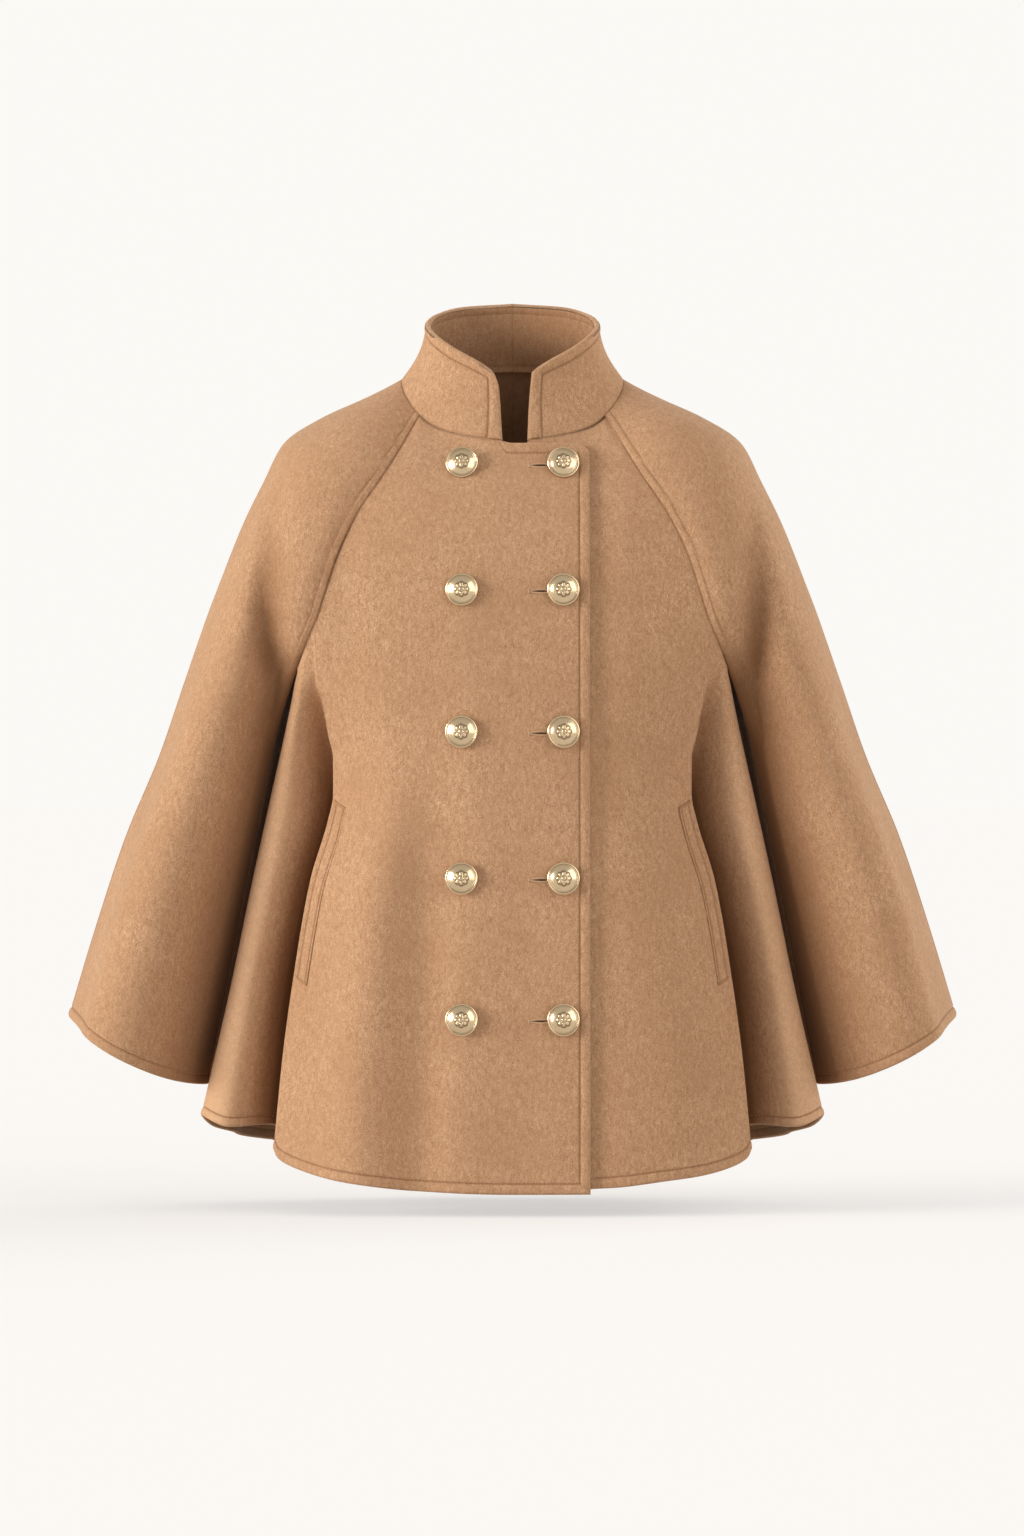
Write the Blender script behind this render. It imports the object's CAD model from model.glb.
import math
import bpy
import numpy as np
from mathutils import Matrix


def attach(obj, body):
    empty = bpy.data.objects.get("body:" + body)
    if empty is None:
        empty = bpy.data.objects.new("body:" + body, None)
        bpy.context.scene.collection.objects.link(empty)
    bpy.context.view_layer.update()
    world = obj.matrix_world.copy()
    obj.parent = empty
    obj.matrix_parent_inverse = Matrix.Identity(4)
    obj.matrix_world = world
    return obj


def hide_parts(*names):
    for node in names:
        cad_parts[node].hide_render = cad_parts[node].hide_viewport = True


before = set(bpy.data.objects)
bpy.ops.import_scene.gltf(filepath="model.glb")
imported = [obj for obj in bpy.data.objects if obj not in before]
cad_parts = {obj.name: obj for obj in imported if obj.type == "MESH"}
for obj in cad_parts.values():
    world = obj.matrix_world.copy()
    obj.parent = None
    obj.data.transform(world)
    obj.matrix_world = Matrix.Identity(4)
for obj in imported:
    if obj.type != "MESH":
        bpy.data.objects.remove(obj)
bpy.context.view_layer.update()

mm = 0.001
far = 99.0   # a distance in mm that no seam or edge reaches
tuck = 0.35   # how far a seam's rim reaches on under its neighbour, in mm
insideDark = 0.75
rimShare = 0.5   # how much of the outer side's shade a rim keeps
sides = {"right": 1, "left": -1}   # tables are for the wearer's right, at -X
print("frame loaded")


# curves and small helpers

def smooth(at, xs, ys):   # curve through a table that never swings past its points
    xs, ys = np.array([xs, ys], float)
    if xs[0] > xs[-1]:
        xs, ys = xs[::-1], ys[::-1]
    step = np.diff(xs)
    slope = np.diff(ys) / step
    tangent = np.zeros(len(xs))
    tangent[0], tangent[-1] = slope[0], slope[-1]
    for i in range(1, len(xs) - 1):
        if slope[i - 1] * slope[i] > 0:
            a = 2 * step[i] + step[i - 1]
            b = step[i] + 2 * step[i - 1]
            tangent[i] = (a + b) / (a / slope[i - 1] + b / slope[i])
    at = np.clip(np.asarray(at, float), xs[0], xs[-1])
    i = np.clip(np.searchsorted(xs, at, side="right") - 1, 0, len(step) - 1)
    t = (at - xs[i]) / step[i]
    start = (1 + 2 * t) * (1 - t) ** 2 * ys[i] + t * (1 - t) ** 2 * step[i] * tangent[i]
    return start + t * t * (3 - 2 * t) * ys[i + 1] + t * t * (t - 1) * step[i] * tangent[i + 1]


def ease(value):
    value = np.clip(value, 0, 1)
    return value * value * (3 - 2 * value)


def bell(value):
    return np.exp(-value * value)


def stack(x, y, z):
    return np.stack(np.broadcast_arrays(x, y, z), -1).astype(float)


def unit(v):
    return v / np.maximum(1e-9, np.linalg.norm(v, axis=-1, keepdims=True))


# rows of points beside a stitched edge, a plain seam and a pressed seam, in mm from it
nearHem = np.array((0, 2.6, 3.8, 5.2, 6.6, 7.6, 8.3, 8.8, 9.2, 9.6, 10.2, 11, 12.5))
nearSeam = np.array((0, 0.6, 1.2, 2, 3, 4.2, 6, 8, 10.5))
nearWelt = np.array((0, 0.6, 1.2, 2, 3, 4.2, 5.2, 6, 6.4, 6.8, 7.2, 7.8, 9, 11))


def spots(near, last, count, length):   # places across a width: fine near both ends, even between
    middle = np.linspace(near[-1], length - last[-1], count)[1:-1]
    return np.concatenate([near, middle, length - last[::-1]])


def nearest(values, target):
    return int(np.argmin(np.abs(values - target)))


# the coat's form: the lines and sections of its solids, in millimetres

form = {
    "neckWide": 97.7, "neckFront": 76.0, "neckBack": 65.0,
    "neckAngle": (5, 26, 42, 56.3, 73, 90, 107, 124, 150, 180),
    "neckHeight": (-52, -47, -40, -28.5, -11, 3.6, 8, 10, 14, 16),
    "rimWide": 75.7, "rimFront": 62.0, "rimBack": 58.0,
    "rimAngle": (9, 11, 14, 18, 25, 40, 60, 75, 90, 115, 145, 180),
    "rimHeight": (-4, 4, 9.5, 13.5, 19, 28.5, 40.5, 48, 54, 64, 72, 75.3),
    "gapAngle": {"right": (5.1, 9.0), "left": (7.6, 13.0)},
    "pinch": 5 / 90, "collarLift": 0.4, "seamAngle": {"front": 56.3, "over": 90.0, "back": 124.0},
    "lapEdge": 67.0, "underlapEdge": 60.0, "underlapDrop": 5.4, "underlapLift": 2.6, "underlapGap": 2,
    "underlapGrowth": 3,
    "underlapRun": 34, "neckHalf": 81.3,
    "lapTop": {"from": -8.7, "level": -52.5, "slope": 1.5, "slopeWide": 8, "corner": 60, "cornerDrop": 7},
    "underlapTop": {"from": -16, "drop": 4.5, "wide": 6},
    "neckLevel": -28.5, "splitLevel": -207.0, "underarmLevel": -250.0, "hemLevel": -668.0, "neckBlend": 22.0,
}
sleeveForm = {
    "share": (0, .06, .12, .18, .24, .30, .34, .38, .43, .52, .62, .74, .87, 1),
    "frontX": (-81.3, -96.5, -114.4, -135, -151.7, -163.3, -169.7, -179, -187, -206, -220, -236, -252, -268),
    "frontY": (-42.2, -65.5, -84.5, -94, -98.3, -99.3, -98, -91, -76, -50, -41, -37, -33, -26),
    "frontZ": (-28.5, -56, -85.5, -116.5, -151, -186.5, -207, -229, -250, -306, -371, -449, -532, -614),
    "overX": (-97.7, -133, -169.5, -200.8, -219.6, -237, -247.5, -256.8, -268.5, -289.8, -311, -341.5,
              -368.3, -391.7),
    "overY": (0, 1, 3, 6, 7, 8, 9, 9, 10, 12, 14, 15, 15, 15),
    "overZ": (3.6, -13, -29.8, -50.7, -86, -121.5, -147, -171, -201, -262, -324, -397.4, -478.3, -555.8),
    "backX": (-81, -97, -114, -133, -150, -164, -171, -180, -187, -197, -208, -225, -240, -252),
    "backY": (36.3, 60, 78, 90, 97, 100, 99, 91, 66, 47, 44, 42, 40, 38),
    "backZ": (10, -13, -42, -76, -115, -158, -186, -218, -250, -306, -371, -449, -532, -612),
    "frontBulge": (0, 2, 4, 6, 8, 11, 14, 18, 24, 40, 54, 66, 72, 74),
    "backBulge": (0, 2, 4, 7, 9, 12, 15, 19, 26, 42, 54, 64, 68, 70),
    "valleyShare": (.20, .25, .29, .34, .38, .43, .48, .55),
    "valleyAcross": (.66, .56, .44, .355, .27, .19, .11, .05),
    "frontValley": (0, 3, 8, 15, 20, 21, 12, 0),
    "backValley": (0, 2, 5, 9, 12, 12, 7, 0),
    "valleyWide": 0.15, "valleyEdge": 0.1, "valleyDark": 0.045, "valleyDarkWide": 0.13,
    "seamShare": (.43, .52, .62, .74, .87, 1),
    "seamX": (-189.3, -203, -213, -225, -238, -250),
    "seamY": (-6, -2, 2, 5, 8, 10),
    "seamZ": (-252.5, -306, -371, -449, -532, -613),
    "underarm": 0.43, "split": 0.34, "length": 640.0, "lift": 0.65, "shoulder": 0.12,
    "firstShare": 0.06, "firstLong": 27.5, "seamLong": 560,   # mm along the raglan seam
    "innerRound": 1.0, "innerGrowth": 1.5,
}
bodyForm = {
    "edgeZ": (-207, -221, -243, -264, -286, -309, -329, -360, -382, -434, -513, -584, -668),
    "edgeX": (-169.7, -170.8, -170.2, -168.1, -163.9, -159.7, -155.6, -155.4, -159.7, -175.2, -189, -198.7,
              -206.9),
    "edgeY": (-98, -97, -95, -92, -88, -84, -82, -82, -84, -86, -90, -94, -98),
    "centreZ": (-20, -52, -73, -110, -184, -306, -432, -553, -703),
    "centreY": (-68, -76, -87, -108, -125, -136, -147, -155, -162),
    "roundZ": (-52, -200, -330, -450, -700), "roundPower": (2.3, 2.35, 2.6, 3.0, 3.2),
    "foldZ": (-190, -300, -450, -700), "foldHeight": (0, 3.0, 8.0, 10.0),
    "foldRidge": (0.22, 0.11), "foldTrough": (0.46, 0.09, 0.35),
    "hemX": (-206.9, -204, -199, -190, -165, -145, -81, 0, 67),
    "hemZ": (-668, -674, -678, -682, -689, -692.5, -700, -702.6, -702.5),
    "backZ": (16, -10, -60, -120, -200, -306, -432, -553, -688),
    "backY": (65, 75, 91, 102, 108, 111, 115, 120, 128),
    "cornerZ": (-250, -306, -371, -449, -532, -600, -670),
    "cornerX": (-187, -189, -194, -202, -209, -214, -218),
    "cornerY": (66, 69, 72, 75, 78, 80, 82),
    "backHemX": (-218, -160, -100, 0), "backHemZ": (-668, -678, -684, -688),
    "backRound": 2.7, "backNeck": (-81.0, 36.3, 10.0), "flankRound": 8.0,
}
sideForm = {
    "share": (0, .1, .2, .33, .5, .7, 1), "stations": (0, .2, .5, .7, .85, 1),
    "valley": ((-174, -171.5, -160, -151.5, -170, -189, -203), (-95, -88, -66, -52, -52, -54, -60),
               (-218, -256, -300, -359, -436, -527, -650)),
    "ridge": ((-181, -184.5, -190, -197, -211, -229, -250), (-88, -82, -76, -70, -71, -74, -77),
              (-236, -262, -303, -360, -436, -526, -648.5)),
    "fold": ((-187, -190, -198, -210, -226, -244, -271), (-76, -69, -60, -56, -56, -56, -55),
             (-250, -268, -306, -360, -434, -522, -640)),
    "flank": ((-189.5, -191.5, -198, -209, -224, -241, -264), (-40, -40, -36, -34, -34, -34, -32),
              (-252, -270, -308, -362, -437, -528, -650)),
    "seam": ((-188.2, -190, -195, -202, -214, -227, -246), (-6, -6, -7, -8, -7, -5, -4),
             (-252.5, -272, -310, -364, -439, -531, -657)),
}


def neckRing(angle):
    turn = np.radians(angle)
    reach = np.where(np.asarray(angle) < 90, form["neckFront"], form["neckBack"])
    return stack(-form["neckWide"] * np.sin(turn), -reach * np.cos(turn),
                 smooth(angle, form["neckAngle"], form["neckHeight"]))


def rimRing(angle):
    turn = np.radians(angle)
    reach = np.where(np.asarray(angle) < 90, form["rimFront"], form["rimBack"])
    return stack(-form["rimWide"] * np.sin(turn), -reach * np.cos(turn),
                 smooth(angle, form["rimAngle"], form["rimHeight"]))


def neckTurn(x):
    return np.degrees(np.arcsin(np.minimum(1.0, np.abs(x) / form["neckWide"])))


def underlap(x):
    past = -x - form["lapEdge"] - form["underlapGap"]
    return form["underlapDrop"] * (1 - ease(past / form["underlapRun"]))


def sleeveLine(line, share):
    share = np.asarray(share, float)
    points = stack(*(smooth(share, sleeveForm["share"], sleeveForm[line + a]) for a in "XYZ"))
    return np.where((share == 0)[..., None], neckRing(form["seamAngle"][line]), points)


def frontEdge(z):
    upper = [smooth(z, sleeveForm["frontZ"][:7], sleeveForm["front" + a][:7]) for a in "XY"]
    lower = [smooth(z, bodyForm["edgeZ"], bodyForm["edge" + a]) for a in "XY"]
    return [np.where(np.asarray(z) > form["splitLevel"], u, v) for u, v in zip(upper, lower)]


def frontPlain(x, z):
    edgeX, edgeY = frontEdge(z)
    centre = smooth(z, bodyForm["centreZ"], bodyForm["centreY"])
    power = smooth(z, bodyForm["roundZ"], bodyForm["roundPower"])
    return centre + (edgeY - centre) * np.minimum(1.0, np.abs(x / edgeX)) ** power


def frontY(x, z):
    base = neckRing(np.maximum(5.0, neckTurn(x)))
    led = (base[..., 1] - frontPlain(x, base[..., 2])) * (np.abs(x) <= form["neckHalf"])
    return frontPlain(x, z) + led * np.exp(-np.maximum(0.0, base[..., 2] - z) / form["neckBlend"])


def frontFold(sideName, across, z):   # the soft fold down the overlapping front
    if sideName != "right":
        return np.zeros(np.shape(across))
    ridge = bell((across - bodyForm["foldRidge"][0]) / bodyForm["foldRidge"][1])
    trough = bell((across - bodyForm["foldTrough"][0]) / bodyForm["foldTrough"][1])
    height = smooth(z, bodyForm["foldZ"], bodyForm["foldHeight"])
    return height * (ridge - bodyForm["foldTrough"][2] * trough) * (across > 0)


def frontNormal(x, z):
    step = 2.0
    slopeX = (frontY(x + step, z) - frontY(x - step, z)) / (2 * step)
    slopeZ = (frontY(x, z + step) - frontY(x, z - step)) / (2 * step)
    return unit(stack(slopeX, -1.0, slopeZ))


# cloth sheets: a thin wall on the garment's form, with relief, bands, rounded edges and tucked seams

class Sheet:
    def __init__(self, rows, more=None, startRow=0):   # a second grid may share column 0 of the first
        height, width = rows.shape[:2]
        self.points = rows.reshape(-1, 3)
        self.main = np.arange(height * width).reshape(height, width)
        self.quads = self.quadsOf(self.main)
        if more is not None:
            new = len(self.points) + np.arange(more[:, 1:].size // 3).reshape(len(more), -1)
            self.points = np.concatenate([self.points, more[:, 1:].reshape(-1, 3)])
            self.extra = np.concatenate([self.main[startRow:, :1], new], 1)
            self.quads = np.concatenate([self.quads, self.quadsOf(self.extra)[:, ::-1]])
        count = len(self.points)
        self.relief, self.inside = np.zeros(count), np.zeros(count)
        self.shade, self.insideShade = np.zeros(count), np.full(count, insideDark)
        self.free = np.zeros(count)   # 1 where the rim is a rounded free edge, 0 at a seam

    @staticmethod
    def quadsOf(index):
        return np.stack([index[:-1, :-1], index[:-1, 1:], index[1:, 1:], index[1:, :-1]], -1).reshape(-1, 4)

    def spread(self, values, elsewhere=far):   # values over the main grid, and one value over the rest
        out = np.full(len(self.points), float(elsewhere))
        out[:self.main.size] = np.broadcast_to(values, self.main.shape).ravel()
        return out

    def normals(self, points):
        corners = points[self.quads]
        cross = np.cross(corners[:, 2] - corners[:, 0], corners[:, 3] - corners[:, 1])
        total = np.zeros_like(points)
        for k in range(4):
            np.add.at(total, self.quads[:, k], cross)
        return unit(total)

    def build(self, name, wall, facing, sideName, node):
        points = self.points * np.array([sides[sideName], 1, 1])
        normal = self.normals(points)
        if (normal @ np.array(facing, float)).sum() < 0:
            self.quads = self.quads[:, ::-1]
            normal = -normal
        quads, total = self.quads, len(points)
        edges = np.concatenate([quads[:, [k, (k + 1) % 4]] for k in range(4)])
        _, first, count = np.unique(np.sort(edges, 1), axis=0, return_index=True, return_counts=True)
        alone = first[count == 1]
        rim = edges[alone]
        away = np.zeros_like(points)
        out = points[rim].mean(1) - points[quads[alone % len(quads)]].mean(1)
        for k in range(2):
            np.add.at(away, rim[:, k], out)
        away = unit(away - (away * normal).sum(1, keepdims=True) * normal)
        onRim = np.zeros(total, bool)
        onRim[rim] = True
        thick = (wall + self.relief + self.inside)[:, None]
        shift = away * np.where(self.free[:, None] > 0, -thick / 2, tuck) * onRim[:, None]
        outer = points + normal * self.relief[:, None] + shift
        inner = points - normal * (wall + self.inside)[:, None] + shift
        ids = np.flatnonzero(onRim)
        place = np.zeros(total, int)
        place[ids] = np.arange(len(ids))
        rings = []
        for turn in (45, 90, 135):
            c, s = math.cos(math.radians(turn)), math.sin(math.radians(turn))
            outward = away[ids] * (thick[ids] / 2 * self.free[ids, None]) * s
            rings.append((outer[ids] + inner[ids]) / 2 + (outer[ids] - inner[ids]) / 2 * c + outward)
        steps = [rim] + [place[rim] + 2 * total + k * len(ids) for k in range(3)] + [rim + total]
        walls = [np.stack([a[:, 1], a[:, 0], b[:, 0], b[:, 1]], 1) for a, b in zip(steps, steps[1:])]
        faces = np.concatenate([quads, quads[:, ::-1] + total] + walls)
        shade = np.concatenate([self.shade, self.insideShade] + [self.shade[ids] * rimShare] * 3)
        self.outer, self.normal = outer, normal
        return addPiece(name, np.concatenate([outer, inner] + rings), faces, "wool", node, shade)


def addPiece(name, points, faces, slotName, nodes=(), shade=None):
    faces = np.asarray(faces)
    mesh = bpy.data.meshes.new(name)
    mesh.vertices.add(len(points))
    mesh.vertices.foreach_set("co", (np.asarray(points) * mm).ravel())
    mesh.loops.add(faces.size)
    mesh.loops.foreach_set("vertex_index", faces.ravel().astype(np.int32))
    mesh.polygons.add(len(faces))
    mesh.polygons.foreach_set("loop_start", np.arange(0, faces.size, faces.shape[1], dtype=np.int32))
    mesh.update(calc_edges=True)
    mesh.validate()
    mesh.shade_smooth()
    if shade is not None:
        layer = mesh.attributes.new("depthShade", "FLOAT", "POINT")
        layer.data.foreach_set("value", np.asarray(shade, float))
    piece = bpy.data.objects.new(name, mesh)
    bpy.context.scene.collection.objects.link(piece)
    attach(piece, "root")
    nodes = [nodes] if isinstance(nodes, str) else list(nodes)
    if nodes:
        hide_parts(*nodes)
    return piece


band = {   # a stitched edge; "inside" is the share of its relief on the cloth's inside
    "width": 9.2, "puff": 0.8, "fall": 5.6, "fallWide": 3.2, "groove": 0.65, "grooveWide": 0.85,
    "inside": 0.6, "dark": 0.75, "darkWide": 0.7, "rim": 0.05,
}
seamLook = {"sink": 0.32, "wide": 0.9, "dark": 0.5, "darkWide": 0.7}
weltLook = {
    "line": 6.8, "puff": 0.6, "rise": 1.6, "fall": 4.6, "fallWide": 2.2, "groove": 0.45, "grooveWide": 0.75,
    "sinkWide": 0.8, "dark": 0.7, "darkWide": 0.6,
}
bandLine = nearest(nearHem, band["width"])   # rows from a stitched edge to its stitches
clothPieces = []
frontSheet = {}
stitchLines = []   # points and normals along each row of stitches


def keepStitches(sheet, ids):
    stitchLines.append((sheet.outer[ids], sheet.normal[ids]))


def darken(sheet, look, distance, strength=1.0):
    sheet.shade = np.maximum(sheet.shade, look["dark"] * strength * bell(distance / look["darkWide"]))


def stitchedEdge(sheet, distance, puff=band["puff"]):   # a turned, topstitched edge at distance 0
    rise = puff * (1 - ease((distance - band["fall"]) / band["fallWide"]))
    groove = band["groove"] * bell((distance - band["width"]) / band["grooveWide"])
    sheet.relief += rise - groove
    sheet.inside += band["inside"] * (rise - groove)
    darken(sheet, band, distance - band["width"])
    sheet.free = np.maximum(sheet.free, distance < band["rim"])


def plainSeam(sheet, distance, strength=1.0):   # cloth that rolls into a seam at distance 0
    sheet.relief -= strength * seamLook["sink"] * bell(distance / seamLook["wide"])
    darken(sheet, seamLook, distance, strength)


def weltSeam(sheet, distance):   # a seam pressed to this side and topstitched
    rise = weltLook["puff"] * ease(distance / weltLook["rise"])
    rise = rise * (1 - ease((distance - weltLook["fall"]) / weltLook["fallWide"]))
    groove = weltLook["groove"] * bell((distance - weltLook["line"]) / weltLook["grooveWide"])
    sheet.relief += rise - groove - seamLook["sink"] * bell(distance / weltLook["sinkWide"])
    darken(sheet, weltLook, distance - weltLook["line"])
    darken(sheet, seamLook, distance)


def roundCorner(first, second, reach):   # distance from two edges that meet in a round corner
    corner = np.maximum(0, reach - first) ** 2 + np.maximum(0, reach - second) ** 2
    within = (first < reach) & (second < reach)
    return np.maximum(0, np.where(within, reach - np.sqrt(corner), np.minimum(first, second)))


def painted(look, u, v):   # how dark or light a fold is: strongest at one share across, from one share down
    return look["strength"] * bell((u - look["at"]) / look["wide"]) * ease((v - look["from"]) / look["fade"])


def soften(sheet, folds, u, v):   # soft troughs and ridges: each runs along a line in u, v
    for f in folds:
        along = np.clip((v - f["v0"]) / (f["v1"] - f["v0"]), 0, 1)
        line = f["u0"] + (f["u1"] - f["u0"]) * along
        wide = f["wide"] * (1 + f.get("spread", 0) * along)
        fade = ease((v - f["v0"]) / f["in"]) * ease((f["v1"] - v) / f["out"])
        moved = f["deep"] * bell((u - line) / wide) * fade
        sheet.relief += moved
        sheet.inside -= moved


flat = {   # each cut's width and length in metres, its area in square metres and its wall in mm
    "front": (0.275, 0.68, 0.163, 3.0), "side": (0.17, 0.47, 0.057, 3.0), "back": (0.26, 0.72, 0.163, 3.0),
    "sleeve_front": (0.24, 0.66, 0.126, 3.0), "sleeve_back": (0.23, 0.66, 0.115, 3.0),
    "collar": (0.26, 0.066, 0.0137, 4.0), "pocket_welt": (0.0150, 0.166, 0.0024, 0.1),
}


def makeCloth(sheet, cut, sideName, facing):
    name = cut + "_" + sideName
    wide, long, area, wall = flat[cut]
    piece = sheet.build(name + "_cloth", wall, facing, sideName, name)
    return piece


# fronts

frontLook = {
    "right": [   # u is millimetres from the centre line, v millimetres below the neck
        {"u0": -50, "u1": -28, "v0": 120, "v1": 560, "wide": 26, "deep": 1.2, "in": 120, "out": 200},
        {"u0": -150, "u1": -140, "v0": 90, "v1": 330, "wide": 16, "deep": -1.6, "in": 70, "out": 90},
        {"u0": 20, "u1": 8, "v0": 330, "v1": 720, "wide": 22, "deep": -1.1, "in": 150, "out": 60},
        {"u0": -122, "u1": -130, "v0": 290, "v1": 900, "wide": 26, "deep": 4.5, "in": 190, "out": 120},
        {"u0": -76, "u1": -80, "v0": 290, "v1": 900, "wide": 21, "deep": -4.5, "in": 190, "out": 120},
    ],
    "left": [
        {"u0": -110, "u1": -120, "v0": 90, "v1": 420, "wide": 30, "deep": -1.5, "in": 90, "out": 160},
        {"u0": -130, "u1": -150, "v0": 380, "v1": 720, "wide": 26, "deep": 2.0, "in": 140, "out": 40},
        {"u0": -95, "u1": -105, "v0": 420, "v1": 720, "wide": 18, "deep": -1.4, "in": 150, "out": 40},
    ],
}
frontGrid = {
    "rows": 118, "upperRows": 56, "columns": 72, "wide": 247.0, "bandEnd": (114, 131, 18), "held": 12,
    "eased": 40, "seamGap": 2, "middle": 40, "hemEnd": 9,
}
topBand = {"from": -11, "round": 6, "free": -4, "corner": 7}   # its end on the overlapping front, x in mm


def frontSurface(sideName, edges, across):   # points of a front at shares across from its outer edge
    over = sideName == "right"
    innerX = form["lapEdge"] if over else form["underlapEdge"]
    neckHalf = form["neckHalf"]
    down = ((edges[:, 2] - form["neckLevel"]) / (form["hemLevel"] - form["neckLevel"]))[:, None]
    topX = (innerX + neckHalf) * across - neckHalf
    start = smooth(neckTurn(np.minimum(topX, 0)), form["neckAngle"], form["neckHeight"])
    top, under = form["lapTop"], form["underlapTop"]
    lapTop = top["level"] - top["slope"] * ease((topX - top["from"]) / top["slopeWide"])
    lapTop = lapTop - top["cornerDrop"] * ease((topX - top["corner"]) / top["cornerDrop"])
    start = np.where(topX > top["from"], lapTop, start)
    if not over:
        start = start - under["drop"] * ease((topX - under["from"]) / under["wide"])
    hemX = bodyForm["hemX"][0] + (innerX - bodyForm["hemX"][0]) * across
    end = smooth(hemX, bodyForm["hemX"], bodyForm["hemZ"])
    if not over:
        end = end + form["underlapLift"] * ease(across * form["underlapGrowth"])
    z = start * (1 - down) + end * down
    x = edges[:, :1] + (innerX - edges[:, :1]) * across
    y = frontY(x, z) - frontFold(sideName, across, z)
    if not over:
        y = y + underlap(x) * (across > 0)
    onEdge = across == 0
    return stack(x, np.where(onEdge, edges[:, 1:2], y), np.where(onEdge, edges[:, 2:], z))


def lowerEdges(levels):
    edgeX, edgeY = frontEdge(levels)
    return stack(edgeX, edgeY, levels)


def frontColumns(over):
    columns = spots(nearSeam, nearHem, frontGrid["columns"], frontGrid["wide"])
    if over:   # finer where the top band ends
        low, high, count = frontGrid["bandEnd"]
        outside = columns[(columns < low - 1) | (columns > high + 1)]
        columns = np.sort(np.concatenate([outside, np.linspace(low, high, count)]))
    return columns[None, :]


def lapDistance(x, fromHem, fromTop, fromLap):   # from the overlapping front's stitched edges
    end = band["width"] * (1 - np.sqrt(np.clip((x - topBand["from"]) / topBand["round"], 0, 1)))
    top = np.where(x > topBand["from"], fromTop + end, far)
    distance = np.minimum(fromHem, roundCorner(top, fromLap, topBand["corner"]))
    distance[:, -1] = 0
    distance[0, x[0] > topBand["free"]] = 0
    return distance


def makeFront(sideName):
    over = sideName == "right"
    topShare = sleeveForm["firstShare"] / sleeveForm["firstLong"] * nearHem
    upper = np.linspace(topShare[-1], sleeveForm["split"], frontGrid["upperRows"])[1:]
    long = form["splitLevel"] - form["hemLevel"]
    levels = form["splitLevel"] - spots(np.array([0.0]), nearHem, frontGrid["rows"], long)[1:]
    edges = np.concatenate([sleeveLine("front", np.concatenate([topShare, upper])), lowerEdges(levels)])
    innerX = form["lapEdge"] if over else form["underlapEdge"]
    width = (innerX - edges[:, 0])[:, None]
    columns = frontColumns(over)
    near = np.minimum(columns, frontGrid["wide"] - columns)
    held = np.where(columns < frontGrid["wide"] / 2, near / width, 1 - near / width)   # keeps a band's width
    blend = ease((near - frontGrid["held"]) / frontGrid["eased"])
    across = held * (1 - blend) + columns / frontGrid["wide"] * blend
    points = frontSurface(sideName, edges, across)
    sheet = Sheet(points)
    x, z = points[..., 0], points[..., 2]
    fromEdge, fromLap = across * width, (1 - across) * width
    fromHem, fromTop = z - z[-1:], z[:1] - z
    if over:
        stitched = lapDistance(x, fromHem, fromTop, fromLap)
        sheet.free[sheet.main[0]] = x[0] > topBand["from"]
    else:
        stitched = np.where(x > -form["lapEdge"] - form["underlapGap"], far, fromHem)   # hidden by the lap
        sheet.free[:] = (fromLap < band["rim"]).ravel()
    soften(sheet, frontLook[sideName], sheet.points[:, 0], -sheet.points[:, 2])
    stitchedEdge(sheet, stitched.ravel())
    besideSleeve = (z > form["splitLevel"] - frontGrid["seamGap"]) & (fromTop > frontGrid["seamGap"])
    plainSeam(sheet, np.where(besideSleeve, fromEdge, far).ravel())
    plainSeam(sheet, np.where(x < topBand["from"], fromTop, far).ravel())
    piece = makeCloth(sheet, "front", sideName, (0, -1, 0))
    frontSheet[sideName] = sheet
    hemRow = nearest(fromHem[:, frontGrid["middle"]], band["width"])
    seen = np.flatnonzero(x[hemRow] < (innerX - frontGrid["hemEnd"] if over else -form["lapEdge"]))
    keepStitches(sheet, sheet.main[hemRow, seen[1:]])
    if over:
        lapColumn = sheet.main.shape[1] - 1 - bandLine
        onTop = np.flatnonzero(x[bandLine] > topBand["free"])
        keepStitches(sheet, sheet.main[bandLine:hemRow, lapColumn])
        keepStitches(sheet, sheet.main[bandLine, onTop[onTop <= lapColumn]])
    return piece


# side panels

sideLook = [   # u is the share across from the front's edge, v the share down
    {"u0": .24, "u1": .26, "v0": .12, "v1": 1.4, "wide": .13, "deep": -5.0, "in": .25, "out": .3},
    {"u0": .62, "u1": .60, "v0": .35, "v1": 1.4, "wide": .09, "deep": 1.6, "in": .3, "out": .3},
]
sideGrid = {"rows": 124, "columns": 52, "wide": 110, "topShare": 0.6, "topFade": 0.1}
sidePaint = {
    "valley": {"at": 0.23, "wide": 0.11, "strength": 1.3, "from": 0.14, "fade": 0.22},
    "lit": {"at": 0.56, "wide": 0.17, "strength": 0.6, "from": 0.1, "fade": 0.3},
}


def sectionCurve(t, stations, lines):   # rounded curve through the lines, at shares t across
    out = np.zeros((lines.shape[1], len(t), 3))
    slopes = np.diff(lines, axis=0) / np.diff(stations)[:, None, None]
    for k, at in enumerate(t):
        i = min(max(0, int(np.searchsorted(stations, at, side="right")) - 1), len(stations) - 2)
        step = stations[i + 1] - stations[i]
        u = (at - stations[i]) / step
        m0 = (slopes[max(0, i - 1)] + slopes[i]) / 2
        m1 = (slopes[min(len(slopes) - 1, i + 1)] + slopes[i]) / 2
        out[:, k] = ((1 + 2 * u) * (1 - u) ** 2 * lines[i] + u * (1 - u) ** 2 * step * m0
                     + u * u * (3 - 2 * u) * lines[i + 1] + u * u * (u - 1) * step * m1)
    return out


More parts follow.
